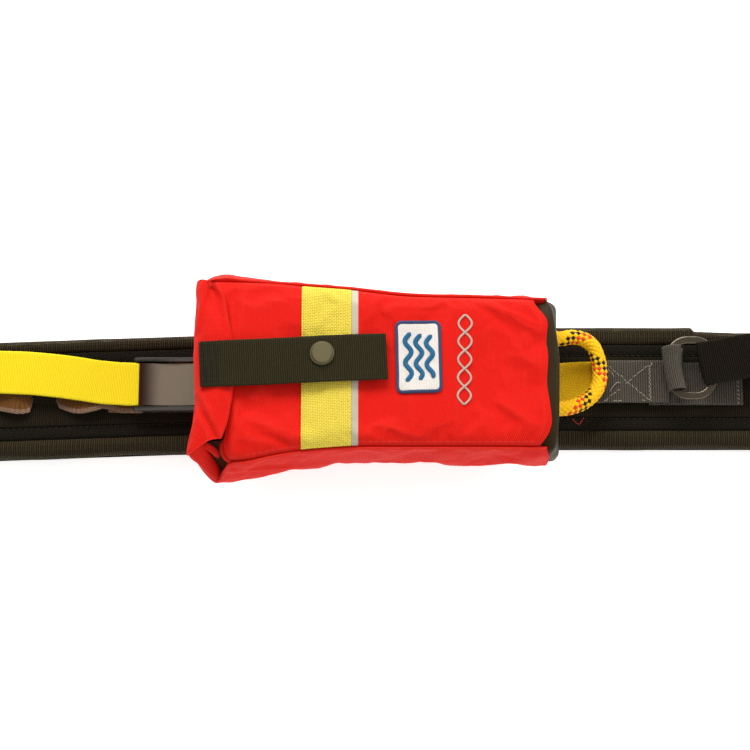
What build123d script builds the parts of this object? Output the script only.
from build123d import *
import math
import os

# Throw rope bag carried on a padded quick-release waist belt, in millimetres.
# The belt lies on its back: +X runs along the belt towards the oval ring (right),
# +Y across the belt (upper), +Z out of the bag's front. Z = 0 is the belt's back face.
# A span is a (low, high) pair along one axis.

os.makedirs("parts", exist_ok=True)

# ---- shared dimensions --------------------------------------------------
WEB = 25.0            # webbing width
WEB_T = 1.4           # strap webbing thickness
CLEAR = 0.1           # gap between stacked layers
FABRIC = 1.0          # bag fabric thickness

BELT_L = 250.0        # half length of the padded belt
BELT_W = 70.0
BELT_TOP = 13.4
BEND_X = -34.0        # the left wing droops from here
BEND_SLOPE = 0.0349   # 2 degrees

BAG_X0, BAG_X1 = -84.0, 94.4      # mouth end and base end of the panels
BAG_Z0, BAG_Z1 = 18.0, 72.0       # back and front faces

PIN_X, PIN_Z, PIN_R = -98.0, 20.5, 1.5      # cam buckle pivot
BAR_X, BAR_Z, BAR_R = -136.0, 16.4, 1.6     # cam buckle's fixed bar
FRAME_Y = (-14.7, 16.1)
BUCKLE_MID_Y = sum(FRAME_Y) / 2

RING_X, RING_Y = 180.7, 9.5
RING_LX, RING_LY = 28.6, 36.6
RING_W, RING_T = 4.3, 2.4
RING_BAR_X = RING_X + RING_LX / 2 - RING_W / 2      # middle of the ring's right bar
TUBE_X, TUBE_Z = 170.0, 24.6                # strap tube round the ring's left bar

ROPE_D = 8.5
ROPE_Z = 32.5
LEG_Y = (-15.0, 26.0)             # where the loop's two legs leave the base


# ---- spans and paths ----------------------------------------------------
def grow(span, margin):
    return (span[0] - margin, span[1] + margin)


def around(centre, half):
    return (centre - half, centre + half)


def moved(points, dx, dz):
    return [(dx + x, dz + z) for x, z in points]


def arc_points(x, z, radius, start, end, steps):
    angles = [math.radians(start + (end - start) * i / steps) for i in range(steps + 1)]
    return [(x + radius * math.cos(a), z + radius * math.sin(a)) for a in angles]


def smooth(points, steps):
    """Catmull-Rom curve through points, with this many steps per segment."""
    out = []
    for i in range(len(points) - 1):
        before, start, end = points[max(i - 1, 0)], points[i], points[i + 1]
        after = points[min(i + 2, len(points) - 1)]
        for k in range(steps):
            t = k / steps
            out.append(tuple(
                0.5 * (2 * b + (c - a) * t + (2 * a - 5 * b + 4 * c - d) * t * t
                       + (3 * b - a - 3 * c + d) * t ** 3)
                for a, b, c, d in zip(before, start, end, after)))
    out.append(points[-1])
    return out


def offset_path(path, thickness):
    """Closed mitred outline of a strip whose middle follows path."""
    normals = []
    for (x0, z0), (x1, z1) in zip(path, path[1:]):
        length = math.hypot(x1 - x0, z1 - z0)
        normals.append((-(z1 - z0) / length, (x1 - x0) / length))
    left, right = [], []
    for (x, z), before, after in zip(path, normals[:1] + normals, normals + normals[-1:]):
        nx, nz = before[0] + after[0], before[1] + after[1]
        k = thickness / (nx * nx + nz * nz)
        left.append((x + nx * k, z + nz * k))
        right.append((x - nx * k, z - nz * k))
    return left + right[::-1]


# ---- solids -------------------------------------------------------------
def block(x_span, y_span, z_span):
    (x0, x1), (y0, y1), (z0, z1) = x_span, y_span, z_span
    return Pos((x0 + x1) / 2, (y0 + y1) / 2, (z0 + z1) / 2) * Box(x1 - x0, y1 - y0, z1 - z0)


def prism(points, axis, length):
    return extrude(make_face(Polyline(*points, close=True)), amount=length, dir=axis)


def plan(points, z_span):
    """Plan outline (x, y) extruded along Z."""
    z0, z1 = z_span
    return prism([(x, y, z0) for x, y in points], (0, 0, 1), z1 - z0)


def profile(points, y_span):
    """Side outline (x, z) extruded across the belt."""
    y0, y1 = y_span
    return prism([(x, y0, z) for x, z in points], (0, 1, 0), y1 - y0)


def section(points, x_span):
    """Cross section (y, z) extruded along the belt."""
    x0, x1 = x_span
    return prism([(x0, y, z) for y, z in points], (1, 0, 0), x1 - x0)


def strip(path, thickness, y_span):
    return profile(offset_path(path, thickness), y_span)


def rod(start, axis, length, radius):
    return Plane(origin=start, z_dir=axis) * Pos(0, 0, length / 2) * Cylinder(radius, length)


def y_rod(x, z, radius, y_span):
    return rod((x, y_span[0], z), (0, 1, 0), y_span[1] - y_span[0], radius)


def y_tube(x, z, outer, inner, y_span):
    return y_rod(x, z, outer, y_span) - y_rod(x, z, inner, grow(y_span, 1))


def leg_rod(y, radius, x_span):
    """Rod along X at the height of the rope legs."""
    return rod((x_span[0], y, ROPE_Z), (1, 0, 0), x_span[1] - x_span[0], radius)


def z_rod(x, y, radius, z_span):
    z0, z1 = z_span
    return Pos(x, y, (z0 + z1) / 2) * Cylinder(radius, z1 - z0)


def rounded_plate(size_x, size_y, radius, thickness):
    return extrude(RectangleRounded(size_x, size_y, radius), amount=thickness)


def turn_about(x, y, angle):
    return Pos(x, y, 0) * Rot(0, 0, angle) * Pos(-x, -y, 0)


def droop(x):
    """Y shift of the left wing at x."""
    return (x - BEND_X) * BEND_SLOPE if x < BEND_X else 0.0


def wing(x_span, y_span, z_span):
    """Belt layer that follows the droop."""
    x0, x1 = x_span
    stations = [x0] + ([BEND_X] if x0 < BEND_X < x1 else []) + [x1]
    low = [(x, y_span[0] + droop(x)) for x in stations]
    high = [(x, y_span[1] + droop(x)) for x in reversed(stations)]
    return plan(low + high, z_span)


def save(name, *shapes):
    solids = [solid for shape in shapes for solid in shape.solids()]
    out = solids[0] if len(solids) == 1 else Compound(children=solids)
    out.label = name
    export_step(out, f"parts/{name}.step")


# ---- padded belt --------------------------------------------------------
COVER_T, FOAM_T, MESH_T = 1.2, 9.4, 1.0
FOAM_Z0 = COVER_T + CLEAR
MESH_Z0 = FOAM_Z0 + FOAM_T + CLEAR
MESH_TOP = MESH_Z0 + MESH_T
BELT_X = around(0, BELT_L)
BELT_HALF = BELT_W / 2
BELT_Y = around(0, BELT_HALF)
BINDING_T = 1.9
SLEEVE_WALL = 2.0


def sleeve(front_span, wall_span):
    """Front plate along one belt edge, with a side wall beside the foam."""
    wall = wing(BELT_X, wall_span, (FOAM_Z0, MESH_Z0 + 0.1))
    return wing(BELT_X, front_span, (MESH_Z0, BELT_TOP)) + wall


save("belt_back_cover", wing(BELT_X, BELT_Y, (0.0, COVER_T)))
save("belt_foam", wing(grow(BELT_X, -3), grow(BELT_Y, -2.1), (FOAM_Z0, FOAM_Z0 + FOAM_T)))
save("belt_front_mesh", wing(BELT_X, (-24.4, 25.4), (MESH_Z0, MESH_TOP)))
save("belt_center_webbing", wing(BELT_X, (-17.0, 18.0), (MESH_TOP + CLEAR, BELT_TOP)))
save("belt_upper_sleeve", sleeve((25.5, BELT_HALF), (BELT_HALF - SLEEVE_WALL, BELT_HALF)))
save("belt_lower_sleeve", sleeve((-BELT_HALF, -24.5), (-BELT_HALF, -BELT_HALF + SLEEVE_WALL)))

binding_x0, binding_x1 = BELT_L + CLEAR, BELT_L + CLEAR + BINDING_T
save("belt_end_bindings",
     wing((binding_x0, binding_x1), BELT_Y, (0.0, BELT_TOP)),
     wing((-binding_x1, -binding_x0), BELT_Y, (0.0, BELT_TOP)))

# Release webbing, from the ring strap to the cam buckle
save("release_webbing", block((-119.0, 156.0), around(1.2, WEB / 2), (15.3, 16.8)))

# ---- cam buckle ---------------------------------------------------------
FLOOR_Z0 = 13.6
RAIL_T = 2.4
LEVER_Y = (-11.6, 12.6)
RAIL_OUTLINE = [        # x, z
    (-138.4, 14.6), (-137.2, FLOOR_Z0), (-91.0, FLOOR_Z0), (-91.0, 21.0), (-94.0, 23.4),
    (-101.0, 23.6), (-108.0, 22.6), (-134.0, 22.6), (-137.2, 21.4), (-138.4, 19.6)]
LEVER_TIP = (-134.0, 22.0)
LEVER_PATH = [          # x, z of the dished plate, from its raised tip
    LEVER_TIP, (-130.0, 21.5), (-122.0, 20.4), (-114.0, 20.1), (-107.0, 20.6), (-102.2, 21.6)]
CAM_OUTLINE = [         # x, z
    (-103.2, 20.8), (-98.0, 23.6), (-96.0, 23.0), (-98.0, 18.2), (-100.0, 17.0),
    (-101.6, 17.4), (-102.6, 19.2)]


def buckle_frame():
    y0, y1 = FRAME_Y
    inside = grow(FRAME_Y, -1)
    rails = profile(RAIL_OUTLINE, (y0, y0 + RAIL_T)) + profile(RAIL_OUTLINE, (y1 - RAIL_T, y1))
    floor = block((-126.0, -91.0), inside, (FLOOR_Z0, 14.9))
    bar = y_rod(BAR_X, BAR_Z, BAR_R, inside)
    return rails + floor + bar - y_rod(PIN_X, PIN_Z, PIN_R, grow(FRAME_Y, 1))


def buckle_pin():
    head_r, head_end = 2.4, 0.9
    y0, y1 = FRAME_Y
    pin = y_rod(PIN_X, PIN_Z, PIN_R, grow(FRAME_Y, 0.05))
    pin += (y_rod(PIN_X, PIN_Z, head_r, (y0 - head_end, y0 - 0.02))
            + y_rod(PIN_X, PIN_Z, head_r, (y1 + 0.02, y1 + head_end)))
    return pin


def cam_lever():
    lever = strip(smooth(LEVER_PATH, 4), 1.6, LEVER_Y)
    lever += y_rod(*LEVER_TIP, 1.0, LEVER_Y)
    hub = y_rod(PIN_X, PIN_Z, 3.2, LEVER_Y)
    hub += profile(CAM_OUTLINE, LEVER_Y)
    lever += hub
    lever -= y_rod(PIN_X, PIN_Z, PIN_R + 0.06, grow(LEVER_Y, 1))
    # Slot for the spring
    lever -= block((-102.4, -92.0), around(BUCKLE_MID_Y, 4.4), (14.0, 26.0))
    return lever


def cam_spring():
    length, wire_r = 6.4, 0.42
    coil = Helix(pitch=1.15, height=length, radius=2.35)
    body = sweep(Plane(origin=coil @ 0, z_dir=coil % 0) * Circle(wire_r), path=coil)
    return Pos(PIN_X, BUCKLE_MID_Y + length / 2, PIN_Z) * Rot(90, 0, 0) * body


save("buckle_frame", buckle_frame())
save("buckle_pin", buckle_pin())
save("cam_lever", cam_lever())
save("cam_spring", cam_spring())

# ---- anchor band that ties the buckle's bar to the belt -----------------
BAND_T = 1.2
BAND_WIDE_X = -142.0    # the band is wider to the left of here
BAND_PATH = [           # x, z
    (-138.3, 15.2), (BAND_WIDE_X, 15.2), (-150.0, 17.2), (-160.0, 18.2), (-170.0, 17.6),
    (-178.0, 15.2), (-183.0, 14.3), (-190.0, 14.15), (-197.0, 14.3), (-201.0, 15.4),
    (-208.0, 17.0), (-216.0, 16.6), (-223.0, 14.6), (-228.0, 14.15)]
KEEPER_OUTLINE = [      # y, z
    (-24.0, 13.45), (-24.0, 14.6), (-18.0, 16.0), (10.2, 16.0), (15.0, 14.6), (15.0, 13.45),
    (10.4, 13.45), (9.4, 14.95), (-17.2, 14.95), (-19.0, 13.45)]


def anchor_band():
    low_y, high_y = -11.7, 8.6
    path = smooth(BAND_PATH, 4)
    band = strip(path, BAND_T, (low_y, high_y))
    band += strip([p for p in path if p[0] <= BAND_WIDE_X], BAND_T, (-16.3, high_y))
    return band + y_tube(BAR_X, BAR_Z, 3.0, BAR_R + 0.15, (low_y, 13.1))


save("anchor_band", anchor_band())
save("band_keeper", section(KEEPER_OUTLINE, (-197.0, -183.0)))

# ---- tail of the release webbing and its pull ball ----------------------
TAIL_Z0 = 19.5
TAIL_RISE = [           # x, z where it climbs with the lever
    (-120.0, 16.9), (-123.0, 17.2), (-128.0, 18.6), (-131.5, 20.05), (-137.0, 20.2)]
TAIL_CENTRE = [         # x, y of the flat run
    (-136.0, 0.7), (-142.0, 0.9), (-157.0, 1.9), (-170.0, 3.6), (-180.0, 5.4),
    (-195.0, 7.0), (-214.0, 7.7), (-222.0, 7.8)]
TAIL_NECK = [           # x, z of the narrow end inside the ball
    (-221.0, 20.2), (-223.4, 21.2), (-226.0, 25.2), (-229.0, 26.5), (-233.0, 26.6),
    (-250.5, 26.6)]
BALL_CENTRE = (-240.6, 7.8, 26.6)
BALL_R = 11.0


def release_tail():
    tail = strip(TAIL_RISE, WEB_T, (-11.8, 13.2))
    centre = smooth(TAIL_CENTRE, 4)
    high = [(x, y + WEB / 2) for x, y in centre]
    low = [(x, y - WEB / 2) for x, y in reversed(centre)]
    tail += plan(high + low, (TAIL_Z0, TAIL_Z0 + WEB_T))
    ball_y, ball_z = BALL_CENTRE[1:]
    tail += strip(smooth(TAIL_NECK, 4), 1.6, around(ball_y, 5.8))
    tail += block((-253.6, -250.3), around(ball_y, 6.4), around(ball_z, 2.0))
    return tail


def pull_ball():
    """Ball with flattened ends and a slot through it along X."""
    angles = [math.pi * k / 24 for k in range(25)]
    curve = [(-BALL_R * math.cos(a), BALL_R * math.sin(a)) for a in angles]
    curve = [p for p in curve if -10.6 < p[0] < 8.9]
    outline = [(curve[0][0], 0.0)] + curve + [(curve[-1][0], 0.0)]
    face = make_face(Polyline(*[(x, y, 0) for x, y in outline], close=True))
    ball = revolve(face, axis=Axis.X)
    ball = ball - block((-14, 14), (-6.5, 6.5), (-1.5, 1.5))
    return Pos(*BALL_CENTRE) * Rot(0, 0, 180) * ball


save("release_tail", release_tail())
save("pull_ball", pull_ball())

# ---- ring strap and the oval ring ---------------------------------------
STRAP_UNDER = [(211.5, 15.2), (182.0, 15.2), (176.0, 15.8)]      # x, z
STRAP_UPPER = [         # x, z over the end of the release webbing
    (125.0, 17.75), (156.0, 17.75), (160.0, 17.3), (163.0, 16.4), (166.5, 15.8)]
RING_CORNER = 12.2


def ring_strap():
    inner_r = 5.15
    flat = (strip(STRAP_UNDER, WEB_T, (-10.6, 14.4))
            + strip(smooth(STRAP_UPPER, 3), WEB_T, (-9.6, 15.2))
            + block((164.0, 178.0), (-9.6, 14.8), (14.5, 16.5)))
    tube = y_tube(TUBE_X, TUBE_Z, 6.6, inner_r, around(RING_Y, WEB / 2))
    # Saddle joining the tube to the flat straps
    saddle = block(around(TUBE_X, 3.2), (RING_Y - WEB / 2, 14.8),
                   (15.8, TUBE_Z - inner_r - 0.5))
    return flat + tube + saddle


def ring_slab(inset, thickness):
    outline = RectangleRounded(RING_LX - 2 * inset, RING_LY - 2 * inset, RING_CORNER - inset)
    return Pos(RING_X, RING_Y, TUBE_Z) * extrude(outline, amount=thickness / 2, both=True)


ring = ring_slab(0, RING_T) - ring_slab(RING_W, RING_T + 2)
save("ring_strap", ring_strap())
save("oval_ring", fillet(ring.edges(), 0.8))

# ---- right waist webbing and side release socket ------------------------
END_BAR_R = 1.8         # bars of the side release halves
EYE_R = 1.9             # bore of the webbing eyes round them
LUG_Y = 12.9            # inner face of the lugs that hold the bars
RIGHT_END = (92.0, -2.0)                # x, z from the ring's right bar
SOCKET_X = RING_BAR_X + RIGHT_END[0] + 3.2
SOCKET_Z = TUBE_Z + RIGHT_END[1]
RIGHT_TURN = turn_about(RING_BAR_X, RING_Y, 9.0)


def waist_webbing_right():
    gap = 2.75          # from the ring's mid-plane to the webbing
    fold_z = gap + WEB_T / 2
    # x, z from the ring's right bar
    fold = [(16.0, fold_z), (0.0, fold_z), *arc_points(-3.4, 0.0, fold_z, 90, 270, 14),
            (0.0, -fold_z), (10.0, 0.2 - gap), (16.0, 0.6), (24.0, 2.05)]
    run = [(15.0, fold_z), (30.0, 3.3), (50.0, 1.0), (66.0, -1.0), RIGHT_END]
    full_y = around(RING_Y, WEB / 2)
    # Gathered to 14 wide where it passes through the ring
    waist = strip(moved(fold, RING_BAR_X, TUBE_Z), WEB_T, around(RING_Y, 7.0))
    waist += strip(smooth(moved(run, RING_BAR_X, TUBE_Z), 4), WEB_T, full_y)
    return RIGHT_TURN * (waist + y_tube(SOCKET_X, SOCKET_Z, 3.3, EYE_R, full_y))


def lugs(x_span, y, z, outer):
    """Pair of lugs, one each side of y, reaching out to the given distance."""
    z_span = around(z, 2.4)
    return (block(x_span, (y - outer, y - LUG_Y), z_span)
            + block(x_span, (y + LUG_Y, y + outer), z_span))


def side_release_socket():
    x, y, z = SOCKET_X, RING_Y, SOCKET_Z
    half_w = 16.5
    body = block((x + 6.0, x + 36.0), around(y, half_w), around(z, 5.5))
    body = fillet(body.edges().filter_by(Axis.X), 3.0)
    body -= block((x + 9.0, x + 40.0), around(y, 13.6), around(z, 3.6))
    # Side windows
    for side in (-1, 1):
        body -= block((x + 12.0, x + 26.0), around(y + side * half_w, 4.6), around(z, 3.0))
    socket = body + lugs((x - 1.8, x + 7.0), y, z, half_w)
    return RIGHT_TURN * (socket + y_rod(x, z, END_BAR_R, around(y, 14)))


save("waist_webbing_right", waist_webbing_right())
save("side_release_socket", side_release_socket())

# ---- left waist webbing and side release plug ---------------------------
LEFT_Y = droop(-254.2)
LEFT_Z = 12.6
PLUG_X, PLUG_Z = -289.6, LEFT_Z + 1.5
PLUG_ARM = [            # x from the plug's bar, y out from the centreline
    (-13.0, 7.0), (-26.0, 9.4), (-30.0, 10.2), (-38.0, 8.0), (-38.6, 9.6),
    (-33.0, 14.2), (-27.4, 15.4), (-26.4, 12.2), (-13.0, 10.4)]


def waist_webbing_left():
    y_span = around(LEFT_Y, WEB / 2)
    webbing = strip([(-255.6, LEFT_Z), (-287.2, LEFT_Z + 1.4)], WEB_T, y_span)
    return webbing + y_tube(PLUG_X, PLUG_Z, 3.4, EYE_R, y_span)


def side_release_plug():
    x, y, z = PLUG_X, LEFT_Y, PLUG_Z
    half_w = 16.0
    arm_z = around(z, 2.4)
    base = block((x - 14.0, x - 5.6), around(y, half_w), around(z, 4.6))
    base = fillet(base.edges().filter_by(Axis.X), 2.0)
    plug = base + y_rod(x, z, END_BAR_R, around(y, 14))
    plug += lugs((x - 7.0, x + 1.8), y, z, half_w)
    # Middle tongue, then the two side arms
    plug += block((x - 34.0, x - 12.0), around(y, 1.6), arm_z)
    for side in (-1, 1):
        plug += plan([(x + dx, y + side * dy) for dx, dy in PLUG_ARM], arm_z)
    return plug


save("waist_webbing_left", waist_webbing_left())
save("side_release_plug", side_release_plug())


# ---- bag shell ----------------------------------------------------------
def front_y(x):
    """(lower, upper) edge of the front panel at x; it tapers towards the base."""
    t = (x - BAG_X0) / (BAG_X1 - BAG_X0)
    return -50.0 + 8.4 * t, 50.8 - 10.8 * t


def panel(x0, z0, inset):
    (low0, high0), (low1, high1) = front_y(x0), front_y(BAG_X1)
    return plan([(x0, low0 + inset), (BAG_X1, low1 + inset),
                 (BAG_X1, high1 - inset), (x0, high0 - inset)], (z0, z0 + FABRIC))


GUSSET_BULGE = [        # y out from the front panel's edge, z
    (-2.8, BAG_Z0 + 1.1), (3.6, 30.0), (5.6, 45.0), (3.8, 60.0), (-0.4, BAG_Z1 - 1.1)]


def gusset(side):
    """Bulging side wall: side is 1 for upper, -1 for lower."""
    faces = []
    for x in (BAG_X0, BAG_X1):
        low, high = front_y(x)
        edge = high if side > 0 else -low
        outer = smooth(moved(GUSSET_BULGE, edge, 0), 3)
        outline = outer + moved(outer, -FABRIC, 0)[::-1]
        faces.append(make_face(Polyline(*[(x, side * y, z) for y, z in outline], close=True)))
    return loft(faces, ruled=True)


save("bag_front_panel", panel(BAG_X0, BAG_Z1 - FABRIC, 0.0))
save("bag_back_panel", panel(BAG_X0 + 2, BAG_Z0, 3.0))
save("bag_upper_gusset", gusset(1))
save("bag_lower_gusset", gusset(-1))

# Mouth end: back fabric turned up the end of the bag, then a flap folded onto the front
MOUTH_Y0, MOUTH_Y1 = -49.5, 50.5
MOUTH_PATH = [          # x, z
    (-85.0, 18.9), (-86.6, 24.0), (-91.0, 31.0), (-97.0, 40.0), (-100.2, 51.0),
    (-100.6, 60.0), (-99.6, 66.4)]
FLAP_PATH = [           # x, z
    (-99.4, 70.4), (-98.0, 73.2), (-94.6, 74.6), (-88.0, 74.7), (-81.0, 74.6)]


def mouth_wall():
    wall = smooth(MOUTH_PATH, 4)
    cheek = moved(wall, 0.5, 0) + [(-84.3, 70.6), (-84.3, 19.2)]
    return (strip(wall, 1.2, (MOUTH_Y0, MOUTH_Y1))
            + profile(cheek, (MOUTH_Y0, MOUTH_Y0 + FABRIC))
            + profile(cheek, (MOUTH_Y1 - FABRIC, MOUTH_Y1)))


save("mouth_wall", mouth_wall())
save("mouth_flap", strip(smooth(FLAP_PATH, 4), 2.0, (-44.0, 51.0)))

# ---- bag base -----------------------------------------------------------
CUP_WALL = 1.4
CUP_END = 101.6
CUP_Y = (-46.4, 44.4)
CUP_Z = (BAG_Z0 + 1.4, BAG_Z1 - 0.8)


def base_panel():
    """Cup over the base end, with a hole for each rope leg."""
    cup = block((BAG_X1 + CLEAR, CUP_END), CUP_Y, CUP_Z)
    cup = fillet(cup.edges().group_by(Axis.X)[-1], 5.0)
    hollow = block((BAG_X1 - 6, CUP_END - CUP_WALL), grow(CUP_Y, -CUP_WALL),
                   grow(CUP_Z, -CUP_WALL))
    cup -= fillet(hollow.edges().group_by(Axis.X)[-1], 4.2)
    for y in LEG_Y:
        cup -= leg_rod(y, 5.6, (96, 104))
    return cup


def grommet(y):
    back, front = 99.2, 102.3
    body = (leg_rod(y, 5.5, (back, front)) + leg_rod(y, 7.6, (101.65, front))
            + leg_rod(y, 6.8, (back, 100.1)))
    return body - leg_rod(y, 4.6, (98, 104))


def base_foam():
    foam = block((84.0, 93.8), (-40.0, 38.6), (BAG_Z0 + 1.6, BAG_Z1 - 2.0))
    foam = fillet(foam.edges().filter_by(Axis.X), 6.0)
    for y in LEG_Y:
        foam -= leg_rod(y, 4.7, (80, 98))
    return foam


def stopper_knot(y):
    """Rope leg with two overlapping turns behind the foam."""
    knot = leg_rod(y, ROPE_D / 2, (74.0, 101.5))
    # x, tilt, major radius of each turn
    for x, tilt, radius in ((79.0, 90, 4.0), (74.6, 78, 3.8)):
        knot += Pos(x, y, ROPE_Z + 1.2) * Rot(0, tilt, 0) * Torus(radius, 3.2)
    return knot


save("base_panel", base_panel())
save("base_grommets", *[grommet(y) for y in LEG_Y])
save("base_foam", base_foam())
save("stopper_knots", *[stopper_knot(y) for y in LEG_Y])

# ---- rope handle loop and stowed rope -----------------------------------
LOOP_X = 106.6          # the loop starts and ends here, beyond the base
LOOP_POINTS = [         # x, y, z
    (LOOP_X, LEG_Y[1], ROPE_Z), (111.6, 27.0, 31.4), (118.0, 25.0, 29.0),
    (124.2, 19.4, 26.4), (127.8, 11.6, 24.8), (128.3, 4.0, 24.0), (126.0, -4.6, 24.4),
    (120.6, -11.4, 26.4), (113.4, -14.6, 30.0), (LOOP_X, LEG_Y[0], ROPE_Z)]

PILE_X = (-74.0, 57.0)
PILE_D = 8.0            # stowed rope diameter
PILE_PITCH = 8.7        # between rows
PILE_RISE = 8.45        # between layers
PILE_ROWS, PILE_LAYERS = 9, 6
PILE_Y0 = -(PILE_ROWS - 1) / 2 * PILE_PITCH - 0.6


def rope_loop():
    radius = ROPE_D / 2
    spine = Spline(*LOOP_POINTS)
    loop = sweep(Plane(origin=spine @ 0, z_dir=spine % 0) * Circle(radius), path=spine)
    loop += Pos(*LOOP_POINTS[0]) * Sphere(radius) + Pos(*LOOP_POINTS[-1]) * Sphere(radius)
    return loop


def rope_layer(z):
    """One zigzag layer of straight rows joined by half-round turns."""
    turn_r = PILE_PITCH / 2
    edges = []
    for i in range(PILE_ROWS):
        y = PILE_Y0 + i * PILE_PITCH
        side = 1 if i % 2 == 0 else -1
        start, end = PILE_X[::side]
        edges.append(Line((start, y, z), (end, y, z)))
        if i < PILE_ROWS - 1:
            edges.append(ThreePointArc((end, y, z), (end + side * turn_r, y + turn_r, z),
                                       (end, y + PILE_PITCH, z)))
    start_plane = Plane(origin=(PILE_X[0], PILE_Y0, z), z_dir=(1, 0, 0))
    return sweep(start_plane * Circle(PILE_D / 2), path=Wire(edges))


save("rope_loop", rope_loop())
save("rope_pile", *[rope_layer(BAG_Z0 + 5.15 + i * PILE_RISE) for i in range(PILE_LAYERS)])

# ---- trim on the front of the bag ---------------------------------------
TRIM_Z0 = BAG_Z1 + CLEAR
LABEL_T = 1.0
EMBROIDERY = [          # x, y
    (48.6, -17.5), (47.2, -12.0), (50.0, -6.0), (47.4, 0.0), (50.2, 6.0),
    (47.6, 12.0), (50.4, 18.0), (48.0, 24.0), (49.4, 28.5)]


def cross_band(x0, x1, thickness):
    """Band across the front panel, its lower end leaning towards the mouth."""
    inset, lean = 0.4, 1.0
    low0, low1 = front_y(x0)[0] + inset, front_y(x1)[0] + inset
    high = front_y(x1)[1] - inset
    return plan([(x0 - lean, low0), (x1 - lean, low1), (x1, high), (x0, high)],
                (TRIM_Z0, TRIM_Z0 + thickness))


def on_label(z, dy, plate):
    return Pos(23.7, 7.0, z) * Rot(0, 0, 1.2) * Pos(0, dy, 0) * plate


def silver_embroidery():
    half_w = 1.1
    line = smooth(EMBROIDERY, 5)
    outline = moved(line, -half_w, 0) + moved(line[::-1], half_w, 0)
    return plan(outline, (TRIM_Z0, TRIM_Z0 + 0.5))


save("front_band", cross_band(-39.3, -12.6, 1.1))
save("reflective_strip", cross_band(-12.4, -9.0, 0.5))
save("label_patch", on_label(TRIM_Z0, 0, rounded_plate(24.6, 39.6, 2.4, LABEL_T)))
save("label_motif", *[
    on_label(TRIM_Z0 + LABEL_T + 0.05, dy, rounded_plate(15.0, 3.2, 1.5, 0.5))
    for dy in (-9.0, 0.0, 9.0)])
save("silver_embroidery", silver_embroidery())


# ---- belt loops on the back of the bag ----------------------------------
def belt_loop(x0):
    x_span = (x0, x0 + WEB)
    return (block(x_span, (-15.6, 18.0), (13.95, BAG_Z0 - CLEAR))
            - block(grow(x_span, 1), (-13.2, 15.6), (14.85, 17.3)))


save("bag_belt_loops", *[belt_loop(x0) for x0 in (-62.0, 34.0)])

# ---- closure strap and press stud ---------------------------------------
STRAP_Y = 4.6
STRAP_SPAN = around(STRAP_Y, WEB / 2)
STRAP_T = 1.5
STRAP_Z0 = 76.3
STRAP_Z1 = STRAP_Z0 + STRAP_T
STRAP_END_X = -82.6
STRAP_TURN = turn_about(-44.1, STRAP_Y, 2.8)
SNAP_X, SNAP_Y = -28.6, 8.0
SNAP_R = 6.5


def snap_rod(radius, z0, z1):
    return z_rod(SNAP_X, SNAP_Y, radius, (z0, z1))


def closure_strap():
    strap = STRAP_TURN * block((STRAP_END_X, 6.6), STRAP_SPAN, (STRAP_Z0, STRAP_Z1))
    strap += STRAP_TURN * y_rod(STRAP_END_X, STRAP_Z0 + STRAP_T / 2, STRAP_T / 2, STRAP_SPAN)
    return strap - snap_rod(2.6, 70, 90)


def snap_cap():
    cap = Pos(SNAP_X, SNAP_Y, STRAP_Z1 + CLEAR) * extrude(Circle(SNAP_R), amount=1.0)
    crown = extrude(Circle(SNAP_R - 0.3), amount=1.3, taper=38)
    cap += Pos(SNAP_X, SNAP_Y, STRAP_Z1 + 1.0) * crown
    return cap + snap_rod(2.4, STRAP_Z0 - 0.6, STRAP_Z1 + 0.3)


def snap_socket():
    return (snap_rod(5.4, STRAP_Z0 - 2.2, STRAP_Z0 - 0.1)
            - snap_rod(2.5, STRAP_Z0 - 1.0, STRAP_Z0)
            - snap_rod(3.3, STRAP_Z0 - 3, STRAP_Z0 - 0.9))


def snap_stud():
    stud = snap_rod(5.2, BAG_Z1 + 1.3, BAG_Z1 + 2.0)
    stud += snap_rod(2.3, BAG_Z1 + 1.9, STRAP_Z0 - 1.2)
    return stud + snap_rod(2.7, STRAP_Z0 - 1.9, STRAP_Z0 - 1.3)


save("strap_sewn_end", STRAP_TURN * block((-94.9, -84.7), STRAP_SPAN, (75.9, STRAP_Z1)))
save("closure_strap", closure_strap())
save("snap_cap", snap_cap())
save("snap_socket", snap_socket())
save("snap_stud", snap_stud())
save("snap_post", snap_rod(5.0, BAG_Z1 - FABRIC - 0.9, BAG_Z1 - FABRIC - CLEAR))
